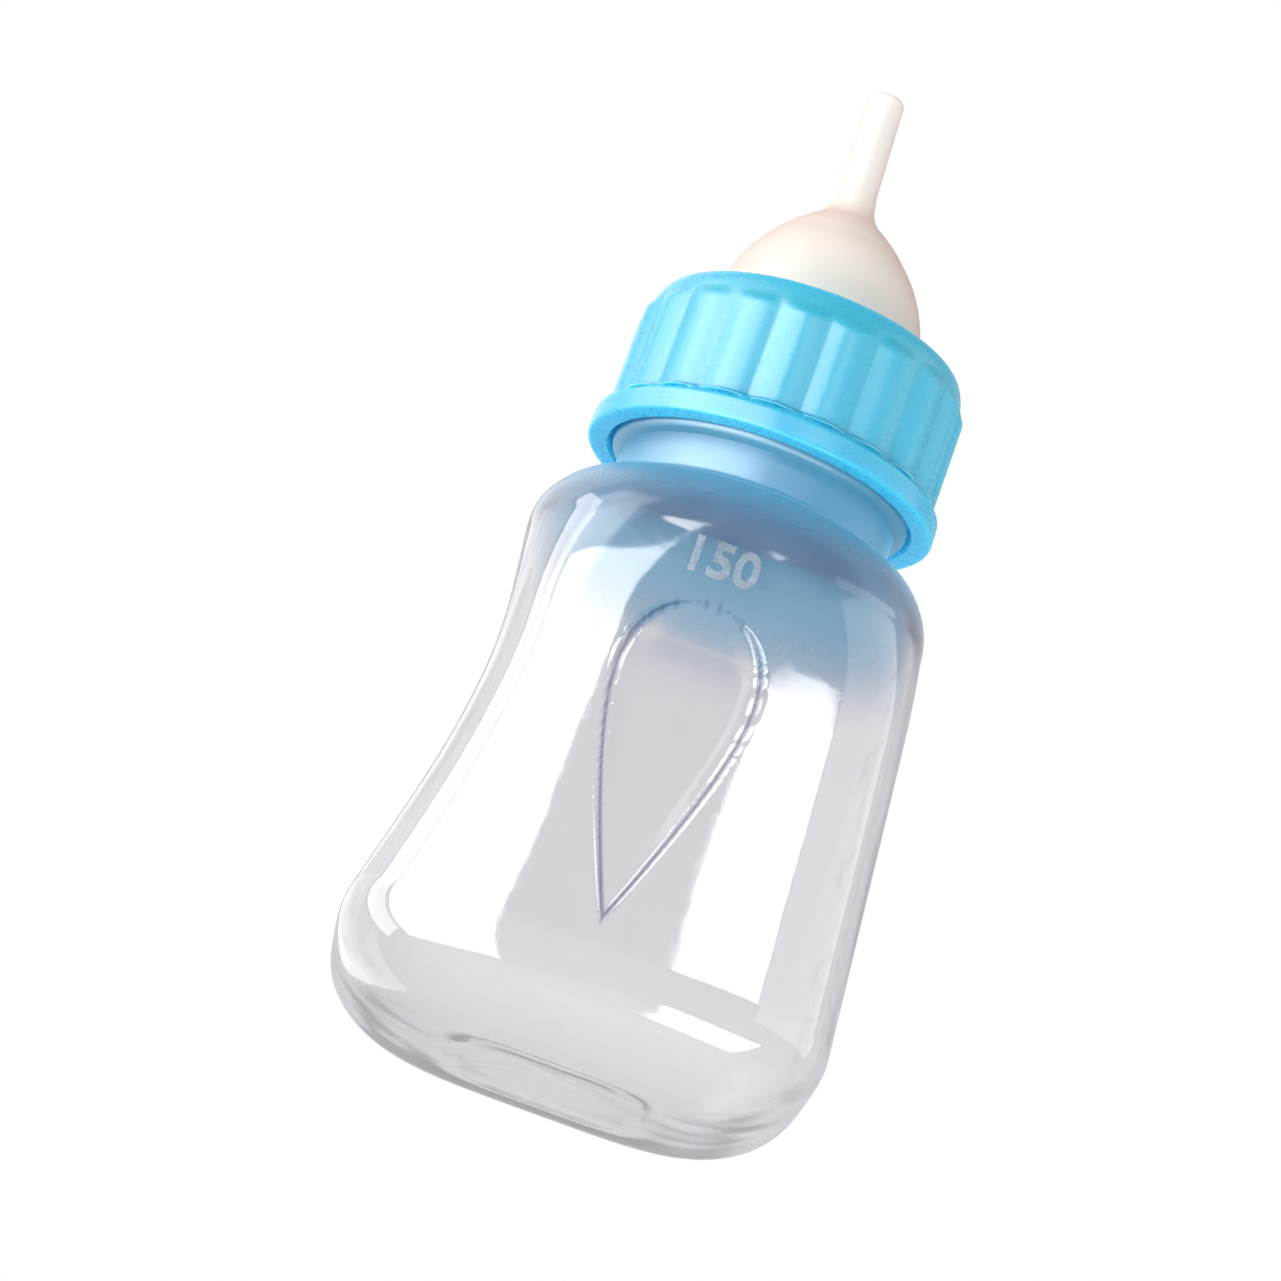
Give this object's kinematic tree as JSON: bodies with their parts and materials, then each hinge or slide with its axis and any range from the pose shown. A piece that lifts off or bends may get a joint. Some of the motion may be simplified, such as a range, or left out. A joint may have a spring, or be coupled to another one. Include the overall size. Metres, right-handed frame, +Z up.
{
  "type": "animal nursing bottle",
  "caption": "Squeezable clear nursing bottle for young animals: waisted rounded-square body with a thumb dish, screw ring and soft long-tube teat.",
  "frame": {"origin": "middle of the base, on the surface that the bottle stands on", "axes": "+Z up along the bottle's axis to the teat, -Y to the front with the thumb dish, -X to the waisted side"},
  "size_m": [0.057, 0.0574, 0.1278],
  "materials": {
    "bottle": "milky-clear blow-moulded polypropylene, glossy",
    "ring": "light blue injection-moulded polypropylene, glossy",
    "teat": "milky off-white silicone, satin"
  },
  "bodies": {
    "bottle": {"bottle": "bottle"},
    "teat": {"teat": "teat"},
    "ring": {"screw_ring": "ring"}
  },
  "joints": [
    {"name": "closure_lift", "type": "slide", "parent": "bottle", "child": "teat", "axis": [0, 0, 1], "range_m": [0, 0.0145]},
    {"name": "ring_turn", "type": "hinge", "parent": "teat", "child": "ring", "pos_m": [0, 0, 0.0753], "axis": [0, 0, 1], "range_deg": [0, 1080]}
  ],
  "couplings": [
    {"joint": "closure_lift", "follows": "ring_turn", "m_per_rad": 0.00076394}
  ]
}
